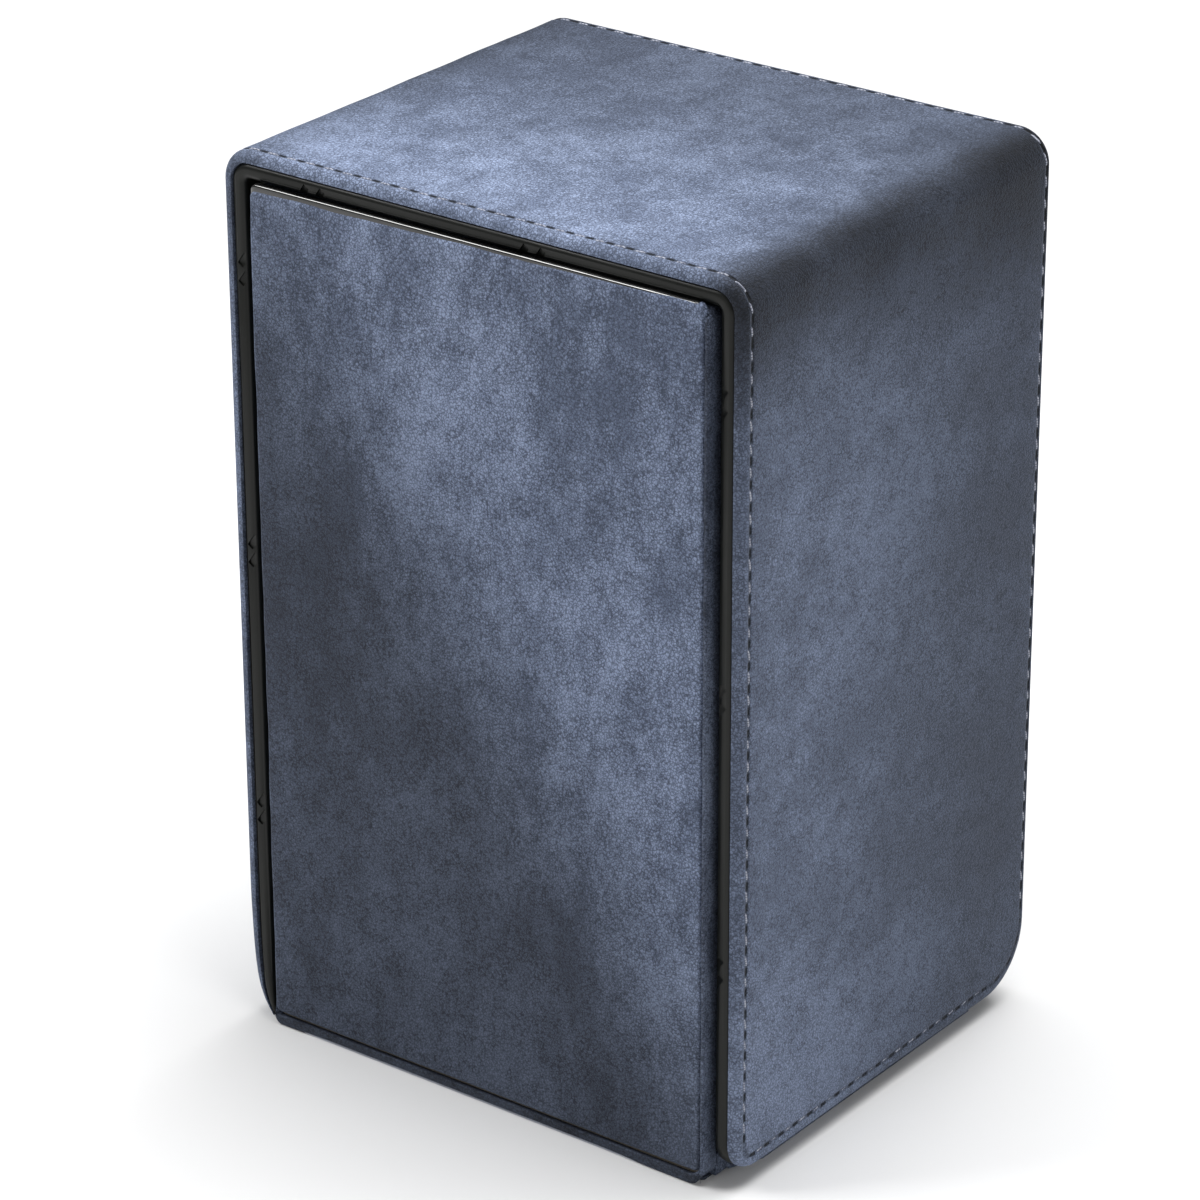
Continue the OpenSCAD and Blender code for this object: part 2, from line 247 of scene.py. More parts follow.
def remap(tree, value, low, high, to=(0.0, 1.0), kind="LINEAR"):
    sockets = {"Value": value, "From Min": low, "From Max": high, "To Min": to[0], "To Max": to[1]}
    return place(tree, "MapRange", sockets, interpolation_type=kind).outputs[0]


def blendColours(tree, amount, first, second):
    ends = [end if isinstance(end, bpy.types.NodeSocket) else (*end, 1) for end in (first, second)]
    return place(tree, "Mix", {0: amount, 6: ends[0], 7: ends[1]}, data_type="RGBA").outputs[2]


def newEffect(name, inputs, outputs):
    tree = bpy.data.node_groups.new(name, "ShaderNodeTree")
    for label, kind, default in inputs:
        socket = tree.interface.new_socket(name=label, in_out="INPUT", socket_type="NodeSocket" + kind)
        if default is not None:
            socket.default_value = default
    for label, kind in outputs:
        tree.interface.new_socket(name=label, in_out="OUTPUT", socket_type="NodeSocket" + kind)
    return tree, tree.nodes.new("NodeGroupInput").outputs, tree.nodes.new("NodeGroupOutput").inputs


def useEffect(tree, effect, sockets):
    return place(tree, "Group", sockets, node_tree=effect).outputs


def makeNapEffect():  # brushed blotches and the fine creased grain of suede-look leather
    tree, given, out = newEffect("suedeNap",
        [("Vector", "Vector", None), ("Blotch", "Float", 26.0), ("Streak", "Vector", (1, 1, 0.5)),
         ("Grain", "Float", 1300.0)],
        [("Nap", "Float"), ("Grain", "Float"), ("Height", "Float")])
    stretched = {0: given["Vector"], 1: given["Streak"]}
    brushed = place(tree, "VectorMath", stretched, operation="MULTIPLY").outputs[0]
    big = noiseAt(tree, brushed, given["Blotch"], 6.0, 0.6, 0.3)
    patchScale = times(tree, given["Blotch"], 5.0)
    patch = noiseAt(tree, brushed, patchScale, 8.0, 0.78)
    grain = noiseAt(tree, given["Vector"], given["Grain"], 2.0, 0.6, 0.8)
    bent = place(tree, "TexNoise", {"Vector": given["Vector"], "Scale": times(tree, given["Grain"], 0.5),
                                    "Detail": 2.0}).outputs[1]

    def creases(scale, bend, low, high):  # dark lines between leather cells, 0 on a line
        sockets = {0: given["Vector"], 1: scaled(tree, bent, bend)}
        at = place(tree, "VectorMath", sockets, operation="ADD").outputs[0]
        cells = {"Vector": at, "Scale": times(tree, given["Grain"], scale)}
        edge = place(tree, "TexVoronoi", cells, feature="DISTANCE_TO_EDGE").outputs[0]
        return remap(tree, edge, low, high)

    cell = creases(0.8, 0.0007, 0.0, 0.2)
    wrinkle = creases(0.34, 0.0022, 0.0, 0.12)
    where = noiseAt(tree, given["Vector"], times(tree, given["Grain"], 0.12), 2.0)
    wrinkle = times(tree, minus(tree, 1.0, wrinkle), remap(tree, where, 0.46, 0.6))
    both = maths(tree, "MULTIPLY_ADD", grain, 0.9, times(tree, cell, 0.4))
    both = minus(tree, both, times(tree, wrinkle, 0.3))
    both = remap(tree, both, 0.42, 0.95)
    nap = maths(tree, "MULTIPLY_ADD", big, 0.5, times(tree, patch, 0.5))
    nap = maths(tree, "MULTIPLY_ADD", minus(tree, both, 0.5), 0.075, nap)
    tree.links.new(remap(tree, nap, 0.4, 0.62, kind="SMOOTHSTEP"), out["Nap"])
    tree.links.new(both, out["Grain"])
    tree.links.new(both, out["Height"])
    return tree


def makePunchEffect():  # needle holes and the pressed line along the stitched hems
    tree, given, out = newEffect("hemPunches",
        [("Along", "Vector", None), ("Pitch", "Float", 4 * mm), ("Low Pitch", "Float", 4 * mm),
         ("Front", "Float", 0.0), ("Back", "Float", 0.0), ("Low", "Float", 0.0),
         ("Unrolled Top", "Float", 0.0),
         ("Toe Turn", "Float", 2.5 * mm), ("Heel Turn", "Float", 9.5 * mm)],
        [("Hole", "Float"), ("Seam", "Float")])
    run, depth = (axisOf(tree, given["Along"], axis) for axis in (X, Y))
    height = minus(tree, given["Unrolled Top"], maths(tree, "ABSOLUTE", run))

    def positive(value):
        return maths(tree, "MAXIMUM", value, 0.0)

    def corner(past, below, turn):  # distance outside a rounded corner, negative inside
        long = maths(tree, "POWER", positive(past), 2.0)
        wide = maths(tree, "POWER", positive(below), 2.0)
        outside = maths(tree, "SQRT", maths(tree, "ADD", long, wide))
        inside = maths(tree, "MINIMUM", maths(tree, "MAXIMUM", past, below), 0.0)
        return minus(tree, maths(tree, "ADD", outside, inside), turn)

    pastHeel = minus(tree, depth, minus(tree, given["Back"], given["Heel Turn"]))
    underHeel = minus(tree, maths(tree, "ADD", given["Low"], given["Heel Turn"]), height)
    pastToe = minus(tree, maths(tree, "ADD", given["Front"], given["Toe Turn"]), depth)
    underToe = minus(tree, maths(tree, "ADD", given["Low"], given["Toe Turn"]), height)
    across = maths(tree, "ABSOLUTE", maths(tree, "MAXIMUM", corner(pastHeel, underHeel, given["Heel Turn"]),
                                           corner(pastToe, underToe, given["Toe Turn"])))
    atBack = maths(tree, "GREATER_THAN", depth, 0.0)
    underBack = times(tree, maths(tree, "GREATER_THAN", underHeel, 0.0), atBack)
    underFront = times(tree, maths(tree, "GREATER_THAN", underToe, 0.0),
                       minus(tree, 1.0, atBack))
    lower = maths(tree, "MAXIMUM", underBack, underFront)
    straight = minus(tree, minus(tree, given["Back"], given["Front"]),
                     maths(tree, "ADD", given["Toe Turn"], given["Heel Turn"]))
    turned = maths(tree, "ARCTAN2", positive(pastHeel), maths(tree, "MAXIMUM", underHeel, 1e-6))
    lowRun = maths(tree, "ADD", straight, maths(tree, "MINIMUM", pastHeel, 0.0))
    lowRun = maths(tree, "MULTIPLY_ADD", turned, given["Heel Turn"], lowRun)

    def gapTo(along, pitch, start):  # distance along the line from the nearest hole
        phase = maths(tree, "FRACT", maths(tree, "ADD", maths(tree, "DIVIDE", along, pitch), start))
        return times(tree, maths(tree, "ABSOLUTE", minus(tree, phase, 0.5)), pitch)

    gap = place(tree, "Mix", {0: lower, 2: gapTo(run, given["Pitch"], 0.0),
                              3: gapTo(lowRun, given["Low Pitch"], 0.5)}, data_type="FLOAT").outputs[0]
    longWay = remap(tree, gap, 0.5 * mm, 1.1 * mm, to=(1.0, 0.0), kind="SMOOTHSTEP")
    wideWay = remap(tree, across, 0.2 * mm, 0.5 * mm, to=(1.0, 0.0), kind="SMOOTHSTEP")
    tree.links.new(times(tree, longWay, wideWay), out["Hole"])
    tree.links.new(remap(tree, across, 0.05 * mm, 0.7 * mm, to=(1.0, 0.0), kind="SMOOTHSTEP"), out["Seam"])
    return tree


def makePileEffect():  # short felt pile
    tree, given, out = newEffect("feltPile", [("Vector", "Vector", None), ("Fibre", "Float", 2600.0)],
                                 [("Tone", "Float"), ("Height", "Float")])
    fibre = noiseAt(tree, given["Vector"], given["Fibre"], 4.0, 0.75, 1.2)
    cloud = noiseAt(tree, given["Vector"], 60.0, 3.0)
    tree.links.new(maths(tree, "MULTIPLY_ADD", cloud, 0.5, times(tree, fibre, 0.5)), out["Tone"])
    tree.links.new(fibre, out["Height"])
    return tree


def makeHandlingEffect():  # faint smears and hairline scuffs on plastic
    tree, given, out = newEffect("handling", [("Vector", "Vector", None), ("Scuff", "Float", 90.0)],
                                 [("Smear", "Float"), ("Scratch", "Float")])
    smear = noiseAt(tree, given["Vector"], given["Scuff"], 4.0, 0.6)
    drawn = place(tree, "Mapping", {"Vector": given["Vector"], "Rotation": (0.4, 0.7, 0.2),
                                    "Scale": (1.0, 14.0, 5.0)}).outputs[0]
    streak = noiseAt(tree, drawn, 130.0, 3.0)
    tree.links.new(remap(tree, smear, 0.3, 0.7), out["Smear"])
    tree.links.new(remap(tree, streak, 0.6, 0.72), out["Scratch"])
    return tree


napEffect = makeNapEffect()
punchEffect = makePunchEffect()
pileEffect = makePileEffect()
handlingEffect = makeHandlingEffect()
print("shader effects made")


# materials

def newMaterial(name):
    material = bpy.data.materials.new(name)
    material.use_nodes = True
    tree = material.node_tree
    tree.nodes.clear()
    surface = place(tree, "BsdfPrincipled")
    place(tree, "OutputMaterial", {"Surface": surface.outputs[0]})
    return material, tree, surface, place(tree, "TexCoord").outputs["Object"]


def dress(tree, surface, **sockets):
    fill(tree, surface, {label.replace("_", " "): value for label, value in sockets.items()})


suedeLook = {
    "dark": (0.026, 0.034, 0.056),
    "light": (0.115, 0.14, 0.202),
    "blotch": 24.0,
    "streak": (1.0, 1.0, 0.55),
    "grain": 2200.0,
    "grainContrast": 0.44,
    "roughness": 0.76,
}
archLook = {
    "edgeRadius": 6 * mm,
    "hem": 2 * mm,
    "lowerHem": 3 * mm,
    "toeTurn": 2.5 * mm,
    "heelTurn": 9.5 * mm,
    "pitch": 4 * mm,
    "paintedBendShade": 0.88,
    "leftBend": 0.45,
    "paintedTopLight": 1.5,
}
archLow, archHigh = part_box("shell_skin")
halfWidth = archHigh.x
frontRow = archLow.y + archLook["hem"]
backRow = archHigh.y - archLook["hem"]
lowRow = archLow.z + archLook["lowerHem"]
cornerRun = halfWidth - archLook["edgeRadius"]  # half of the flat part of the top
cornerArc = math.pi * archLook["edgeRadius"] / 2
cornerZ = archHigh.z - archLook["edgeRadius"]
unrolledTop = cornerZ + cornerRun + cornerArc
lowStraight = backRow - frontRow - archLook["toeTurn"] - archLook["heelTurn"]
lowLength = lowStraight + math.pi * archLook["heelTurn"] / 2
lowCount = int(lowLength / archLook["pitch"])
lowPitch = lowLength / lowCount


def makeSuede(name, streak=None, shift=(0, 0, 0), onArch=False, paintedLightDrift=None, foot=None, edge=None, even=0.0):
    material, tree, surface, coords = newMaterial(name)
    moved = place(tree, "Mapping", {"Vector": coords, "Location": shift}).outputs[0]
    nap = useEffect(tree, napEffect, {"Vector": moved, "Blotch": suedeLook["blotch"],
                                      "Streak": streak or suedeLook["streak"], "Grain": suedeLook["grain"]})
    level = remap(tree, nap["Nap"], 0.0, 1.0, to=(even, 1.0 - even * 0.2))  # evener where less brushed
    colour = blendColours(tree, level, suedeLook["dark"], suedeLook["light"])
    contrast = suedeLook["grainContrast"]
    shade = remap(tree, nap["Grain"], 0.0, 1.0, to=(1 - contrast, 1 + contrast * 0.7))
    height = nap["Height"]

    def toned(value, low, high, to, kind="LINEAR"):  # the shade so far, times a tone that follows value
        return times(tree, shade, remap(tree, value, low, high, to=to, kind=kind))

    if paintedLightDrift:  # painted light: a slow change of tone that stands in for the light falling off across the piece: (direction, start, end, (tone at start, tone at end))
        along = place(tree, "VectorMath", {0: coords, 1: paintedLightDrift[0]}, operation="DOT_PRODUCT").outputs[1]
        shade = toned(along, paintedLightDrift[1], paintedLightDrift[2], paintedLightDrift[3], "SMOOTHSTEP")
    if foot:  # painted shade: darker towards the floor, where the leather rolls under: (start, end, tone at start)
        up = axisOf(tree, coords, 2)
        shade = toned(up, foot[0], foot[1], (foot[2], 1.0))
    if edge:  # painted highlight: paler along its left edge, where the rolled edge catches the light: (start, end, tone at start)
        side = axisOf(tree, coords, 0)
        shade = toned(side, edge[0], edge[1], (edge[2], 1.0))
    if onArch:  # painted shade where it bends down to the sides, painted light over the flat top, and pressed and pierced along the hems
        along = place(tree, "UVMap", uv_map="alongArch").outputs[0]
        signedRun = axisOf(tree, along, 0)
        run = maths(tree, "ABSOLUTE", signedRun)
        rise = remap(tree, run, cornerRun - 4 * mm, cornerRun + 5 * mm, kind="SMOOTHSTEP")
        fall = remap(tree, run, cornerRun + 8 * mm, cornerRun + 38 * mm, to=(1.0, 0.0), kind="SMOOTHSTEP")
        bySide = remap(tree, signedRun, -5 * mm, 5 * mm, to=(archLook["leftBend"], 1.0))
        patchy = remap(tree, noiseAt(tree, moved, 38.0, 4.0), 0.35, 0.55, to=(0.75, 1.0))
        # painted shade: a patchy dark band just past the top's rounded edges, weaker on the left
        wearAndShade = times(tree, times(tree, times(tree, rise, bySide), fall), patchy)
        shade = toned(wearAndShade, 0.0, 1.0, (1.0, 1 - archLook["paintedBendShade"]))
        # painted light: the flat top lighter than the bends
        shade = toned(run, cornerRun - 14 * mm, cornerRun + 4 * mm, (archLook["paintedTopLight"], 1.0), "SMOOTHSTEP")
        punch = useEffect(tree, punchEffect, {
            "Along": along, "Pitch": archLook["pitch"], "Low Pitch": lowPitch,
            "Front": frontRow, "Back": backRow, "Low": lowRow, "Unrolled Top": unrolledTop,
            "Toe Turn": archLook["toeTurn"], "Heel Turn": archLook["heelTurn"]})
        # painted shade in the needle holes; darker along the pressed seam line
        shade = toned(punch["Seam"], 0.0, 1.0, (1.0, 0.62))
        shade = toned(punch["Hole"], 0.0, 1.0, (1.0, 0.06))
        height = minus(tree, height, times(tree, punch["Hole"], 2.5))
        height = minus(tree, height, punch["Seam"])
    bump = bumped(tree, height, 0.7, 0.14 * mm)
    roughest = suedeLook["roughness"] + 0.06
    roughness = remap(tree, nap["Nap"], 0.0, 1.0, to=(roughest - 0.18, roughest))
    dress(tree, surface, Base_Color=scaled(tree, colour, shade), Normal=bump, Roughness=roughness,
          Sheen_Weight=0.16, Sheen_Roughness=0.4, Sheen_Tint=(0.6, 0.72, 1.0, 1),
          Specular_IOR_Level=0.2)
    return material


def makeBlackPlastic(name, colour, roughness, coat=0.0, bumpDepth=0.02 * mm, shine=0.5):
    material, tree, surface, coords = newMaterial(name)
    wearAndShade = useEffect(tree, handlingEffect, {"Vector": coords, "Scuff": 90.0})
    dark, light, scratched = ([part * tone for part in colour] for tone in (0.8, 1.35, 3))
    tint = blendColours(tree, wearAndShade["Smear"], dark, light)
    tint = blendColours(tree, times(tree, wearAndShade["Scratch"], 0.25), tint, scratched)
    level = remap(tree, wearAndShade["Smear"], 0.0, 1.0, to=(roughness - 0.05, roughness + 0.07))
    level = maths(tree, "MULTIPLY_ADD", wearAndShade["Scratch"], 0.12, level)
    pebble = noiseAt(tree, coords, 1400.0, 2.0)
    bump = bumped(tree, pebble, 0.2, bumpDepth)
    dress(tree, surface, Base_Color=tint, Roughness=level, Normal=bump, Coat_Weight=coat,
          Coat_Roughness=0.06, IOR=1.5, Specular_IOR_Level=shine)
    return material


def makeFelt(name, dark, light):
    material, tree, surface, coords = newMaterial(name)
    pile = useEffect(tree, pileEffect, {"Vector": coords, "Fibre": 2600.0})
    colour = blendColours(tree, remap(tree, pile["Tone"], 0.35, 0.65), dark, light)
    bump = bumped(tree, pile["Height"], 0.6, 0.15 * mm)
    dress(tree, surface, Base_Color=colour, Normal=bump,
          Roughness=remap(tree, pile["Tone"], 0.0, 1.0, to=(0.85, 1.0)), Sheen_Weight=0.4,
          Sheen_Roughness=0.5, Specular_IOR_Level=0.1)
    return material


def makeThread(name, dark, light):
    material, tree, surface, coords = newMaterial(name)
    turned = place(tree, "Mapping", {"Vector": coords, "Rotation": (0.5, 0.6, 0.8)}).outputs[0]
    ply = place(tree, "TexWave", {"Vector": turned, "Scale": 900.0, "Distortion": 1.5}).outputs[1]
    fuzz = noiseAt(tree, coords, 420.0, 2.0)
    tone = maths(tree, "MULTIPLY_ADD", ply, 0.5, times(tree, fuzz, 0.6))
    colour = blendColours(tree, remap(tree, tone, 0.25, 0.8), dark, light)
    bump = bumped(tree, ply, 0.6, 0.08 * mm)
    dress(tree, surface, Base_Color=colour, Normal=bump,
          Roughness=remap(tree, ply, 0.0, 1.0, to=(0.5, 0.7)), Sheen_Weight=0.3)
    return material


def makeRibbonWeave(name, dark, light):
    material, tree, surface, coords = newMaterial(name)
    rib = place(tree, "TexWave", {"Vector": coords, "Scale": 330.0, "Distortion": 0.3},
                bands_direction="Z").outputs[1]
    fuzz = noiseAt(tree, coords, 900.0, 2.0)
    tone = maths(tree, "MULTIPLY_ADD", rib, 0.6, times(tree, fuzz, 0.4))
    bump = bumped(tree, rib, 0.5, 0.1 * mm)
    dress(tree, surface, Base_Color=blendColours(tree, tone, dark, light), Normal=bump,
          Roughness=remap(tree, fuzz, 0.2, 0.8, to=(0.45, 0.65)), Sheen_Weight=0.25)
    return material


def makeBoard(name, dark, light):
    material, tree, surface, coords = newMaterial(name)
    fleck = noiseAt(tree, coords, 500.0, 5.0)
    ply = noiseAt(tree, coords, 40.0, 3.0)
    tone = maths(tree, "MULTIPLY_ADD", fleck, 0.6, times(tree, ply, 0.4))
    bump = bumped(tree, fleck, 0.3, 0.1 * mm)
    dress(tree, surface, Base_Color=blendColours(tree, tone, dark, light), Normal=bump,
          Roughness=remap(tree, fleck, 0.0, 1.0, to=(0.8, 0.95)))
    return material


def makeNickel(name):
    material, tree, surface, coords = newMaterial(name)
    brushed = place(tree, "Mapping", {"Vector": coords, "Scale": (1.0, 20.0, 20.0)}).outputs[0]
    lines = noiseAt(tree, brushed, 220.0, 3.0)
    dress(tree, surface, Base_Color=blendColours(tree, lines, (0.5, 0.49, 0.47), (0.72, 0.71, 0.69)),
          Roughness=remap(tree, lines, 0.2, 0.8, to=(0.2, 0.4)), Metallic=1.0)
    return material


# painted light: the arch lighter towards its front and darker towards its back
archSuede = makeSuede("archSuede", streak=(1.0, 0.8, 1.0), onArch=True, even=0.3,
                      paintedLightDrift=((0, 1, 0), -45 * mm, 45 * mm, (1.5, 0.6)))
# painted shade: the flap leather darker along its rolled-under foot
flapSuede = makeSuede("flapSuede", shift=(0.31, 0.1, 0.07), foot=(1.9 * mm, 3.2 * mm, 0.36))
panelSuede = makeSuede("panelSuede", shift=(0.17, 0.4, 0.22), even=0.16,
                       # painted light: the face lighter towards its top and right
                       paintedLightDrift=((1.3, 0, 1), 50 * mm, 135 * mm, (0.63, 2.1)),
                       # painted highlight: paler along the face's left edge
                       edge=(-46.75 * mm, -46.1 * mm, 1.9))
coverSuede = makeSuede("coverSuede", shift=(0.05, 0.2, 0.5))
blackLiner = makeBlackPlastic("blackLiner", (0.0055, 0.0062, 0.0052), 0.33, shine=0.25)
glossTrim = makeBlackPlastic("glossTrim", (0.0015, 0.0015, 0.0015), 0.1, coat=1.0,
                             bumpDepth=0.003 * mm, shine=0.7)
satinTray = makeBlackPlastic("satinTray", (0.018, 0.019, 0.021), 0.42)
greyFelt = makeFelt("greyFelt", (0.018, 0.02, 0.025), (0.05, 0.054, 0.064))
paleThread = makeThread("paleThread", (0.09, 0.1, 0.15), (0.4, 0.42, 0.5))
# painted reflection of the floor's light on the hinge's front edge
paintedFloorReflection = makeThread("paintedFloorReflection", (0.42, 0.45, 0.55), (0.6, 0.62, 0.7))
blueRibbon = makeRibbonWeave("blueRibbon", (0.03, 0.036, 0.06), (0.11, 0.13, 0.2))
greyboard = makeBoard("greyboard", (0.2, 0.17, 0.13), (0.45, 0.4, 0.33))
blackboard = makeBoard("blackCoreBoard", (0.008, 0.008, 0.009), (0.03, 0.03, 0.032))
nickel = makeNickel("nickel")
print("materials made")


# the leatherette arch

archShape = {
    "toeRadius": 6 * mm,
    "heelRadius": 12 * mm,
    "depth": 2.1 * mm,
    "leather": 0.8 * mm,
    "roll": 1.85 * mm,
    "grid": 4 * mm,
    "grooveDepth": 0.22 * mm,
    "grooveWidth": 0.4 * mm,
    "stitchHold": 7 * mm,
    "rumpleSize": 22 * mm,
    "rumpleDepth": 0.55 * mm,
}
legShape = {
    "inner": -47.3 * mm,
    "square": 0.9,
    "drop": 3.1 * mm,
    "dropHeight": 17 * mm,
    "dropReach": 14 * mm,
    "pinch": 0.66,
    "pinchHeight": 4 * mm,
    "pinchReach": 8 * mm,
    "lean": 0.1,
    "leanHeight": 24 * mm,
    "leanReach": 26 * mm,
    "cutHeights": (3.9, 4.6, 5.4, 6.6, 7.8, 9.2, 11, 13.5, 17, 21),
    "cutDepths": (1.2, 2.6, 4, 5, 6, 7, 8, 12, 18, 26),
}


def archDepth(co):  # how far a point lies inside the arch's outer face
    dx, dz = abs(co.x) - cornerRun, co.z - cornerZ
    if dx > 0 and dz > 0:
        return archLook["edgeRadius"] - math.hypot(dx, dz)
    return min(halfWidth - abs(co.x), archHigh.z - co.z)


def archRunAt(co):  # run along the outer face from the middle of the top
    side = -1 if co.x < 0 else 1
    dx, dz = abs(co.x) - cornerRun, co.z - cornerZ
    if dz <= 0 and dx > -2 * mm:
        return side * (cornerRun + cornerArc - dz)
    if dx <= 0:
        return co.x
    return side * (cornerRun + archLook["edgeRadius"] * math.atan2(dx, dz))


def hemDistance(co):  # distance from the nearest straight stitch line
    ways = []
    if co.z > lowRow:
        ways.append(abs(co.y - frontRow))
    if co.z > lowRow + archLook["heelTurn"]:
        ways.append(abs(co.y - backRow))
    if frontRow < co.y < backRow - archLook["heelTurn"] and abs(co.x) > cornerRun:
        ways.append(abs(co.z - lowRow))
    return min(ways) if ways else 1


def fading(share):
    share = min(1, max(0, share))
    return 1 - share * share * (3 - 2 * share)


def drawInLeg(piece):  # the left wall's front foot is squared off and drawn in beside the flap's corner
    toeY, toeZ = archLow.y + archShape["toeRadius"], archLow.z + archShape["toeRadius"]
    for vertex in piece.data.vertices:
        co = vertex.co
        if co.x > legShape["inner"]:
            continue
        dy, dz = toeY - co.y, toeZ - co.z
        if dy > 0 and dz > 0:
            grow = 1 + (math.hypot(dy, dz) / max(dy, dz) - 1) * legShape["square"]
            co.y, co.z = toeY - dy * grow, toeZ - dz * grow
        drop, pinch, lean = (legShape[way] * fading((co.y - archLow.y) / legShape[way + "Reach"])
                             for way in ("drop", "pinch", "lean"))
        co.z -= drop * max(0, 1 - (co.z - archLow.z) / legShape["dropHeight"]) ** 2
        pull = pinch * math.exp(-co.z / legShape["pinchHeight"])
        pull += lean * max(0, 1 - co.z / legShape["leanHeight"])
        co.x = legShape["inner"] + (co.x - legShape["inner"]) * (1 - min(0.95, pull))


def sliceLeg(piece):  # cuts the foot finely enough to be drawn in
    def onLeg(face):
        at = face.calc_center_median()
        return at.x < -45 * mm and at.z < 26 * mm

    sliceAcross(piece, Z, [step * mm for step in legShape["cutHeights"]], onLeg)
    sliceAcross(piece, Y, [archLow.y + step * mm for step in legShape["cutDepths"]], onLeg)


def makeArch():
    low, high = archLow, archHigh
    arch = addBlock("suedeArch", low, high)
    roundEdges(arch, archLook["edgeRadius"], 12, lambda e: isAlong(e, Y, z=high.z))
    roundEdges(arch, archShape["toeRadius"], 8, lambda e: isAlong(e, X, z=low.z, y=low.y))
    roundEdges(arch, archShape["heelRadius"], 12, lambda e: isAlong(e, X, z=low.z, y=high.y))
    pick(arch, "FACE", lambda f: abs(f.normal.x) < 0.01 and (abs(f.normal.y) > 0.01 or f.normal.z < 0))
    bpy.ops.mesh.delete(type="FACE")
    finishWith(arch, "SOLIDIFY", thickness=archShape["depth"], offset=-1, use_even_offset=True,
               use_rim_only=True)
    roundEdges(arch, archShape["roll"], 7, lambda e: len(e.link_faces) == 2 and e.calc_face_angle() > 1.0)
    sliceAcross(arch, Y, [row + step * mm for row in (frontRow, backRow) for step in (-0.3, 0, 0.3)]
                + [frontRow + 0.8 * mm, backRow - 0.8 * mm]
                + evenCuts(frontRow + 1 * mm, backRow - 1 * mm, archShape["grid"]))
    sliceAcross(arch, Z, [lowRow + step * mm for step in (-0.9, -0.3, 0, 0.3, 0.9)]
                + evenCuts(lowRow + 1 * mm, cornerZ, archShape["grid"]))
    sliceAcross(arch, X, evenCuts(-cornerRun, cornerRun, archShape["grid"]))
    sliceLeg(arch)
    finishWith(arch, "SOLIDIFY", thickness=archShape["leather"], offset=-1, use_even_offset=True)
    rumple(arch, archShape["rumpleSize"], archShape["rumpleDepth"],
           lambda co: hemDistance(co) / archShape["stitchHold"] if archDepth(co) < 0.3 * mm else 0)
    for vertex in arch.data.vertices:  # the stitches pull a groove into the leather
        if archDepth(vertex.co) < 0.4 * mm:
            away = hemDistance(vertex.co) / archShape["grooveWidth"]
            vertex.co -= vertex.normal * archShape["grooveDepth"] * math.exp(-away ** 2)
    along = arch.data.uv_layers.new(name="alongArch")
    for loop in arch.data.loops:
        co = arch.data.vertices[loop.vertex_index].co
        along.data[loop.index].uv = (archRunAt(co), co.y)
    drawInLeg(arch)
    roundOver(arch, 50)
    return settle(arch, "case", archSuede, "suede", "shell_skin")


makeArch()
print("arch made")


# stitches

stitchLook = {"length": 2.2 * mm, "radius": 0.17 * mm, "sink": 0.13 * mm, "tilt": 8, "seed": 11}


def makeStitch():  # one thread stitch along X, its ends dipping into the leather
    leaveAll()
    length, radius = stitchLook["length"], stitchLook["radius"]
    bpy.ops.mesh.primitive_cylinder_add(vertices=8, radius=radius, depth=length, end_fill_type="NGON")
    stitch = bpy.context.object
    stitch.rotation_euler = (0, math.pi / 2, 0)
    bpy.ops.object.transform_apply(location=True, rotation=True, scale=True)
    pick(stitch, "FACE", lambda f: abs(f.normal.x) > 0.9)
    bpy.ops.mesh.inset(thickness=radius * 0.45, depth=radius * 0.35)
    sliceAcross(stitch, X, [-length * 0.28, length * 0.28])
    pick(stitch, "VERT", lambda v: abs(v.co.x) > length * 0.4)
    bpy.ops.transform.translate(value=(0, 0, -radius * 1.3))
    roundOver(stitch, 70)
    return stitch


def stitchRow(name, places, node, deeper=0):
    first = makeStitch()
    dice = random.Random(stitchLook["seed"])
    copies = []
    for spot, alongWay, outWay in places:
        copy = first.copy()
        copy.data = first.data.copy()
        bpy.context.scene.collection.objects.link(copy)
        sideWay = outWay.cross(alongWay)
        turn = Matrix((alongWay, sideWay, outWay)).transposed().to_4x4()
        tilt = Matrix.Rotation(math.radians(stitchLook["tilt"] + dice.uniform(-5, 5)), 4, "Z")
        stretch = Matrix.Diagonal((dice.uniform(0.85, 1.05), 1, 1, 1))
        sink = stitchLook["sink"] + deeper + dice.uniform(0, 0.1) * mm
        copy.data.transform(Matrix.Translation(spot - outWay * sink) @ turn @ tilt @ stretch)
        copies.append(copy)
    bpy.data.objects.remove(first)
    row = joinInto(name, copies)
    drawInLeg(row)
    return settle(row, "case", paleThread, "thread", node)


def archSpot(run, y):  # a stitch's place, the way it runs and the way out of the leather
    side = -1 if run < 0 else 1
    past = abs(run) - cornerRun
    if past < 0:
        return Vector((run, y, archHigh.z)), Vector((1, 0, 0)), Vector((0, 0, 1))
    if past < cornerArc:
        turn = past / archLook["edgeRadius"]
        out = Vector((side * math.sin(turn), 0, math.cos(turn)))
        spot = Vector((side * cornerRun, y, cornerZ)) + out * archLook["edgeRadius"]
        return spot, Vector((math.cos(turn), 0, -side * math.sin(turn))), out
    spot = Vector((side * halfWidth, y, cornerZ - (past - cornerArc)))
    return spot, Vector((0, 0, -side)), Vector((side, 0, 0))


def archRow(y, turn):
    count = int((unrolledTop - lowRow - turn - 1.3 * mm) / archLook["pitch"])
    return [archSpot(i * archLook["pitch"], y) for i in range(-count, count + 1)]


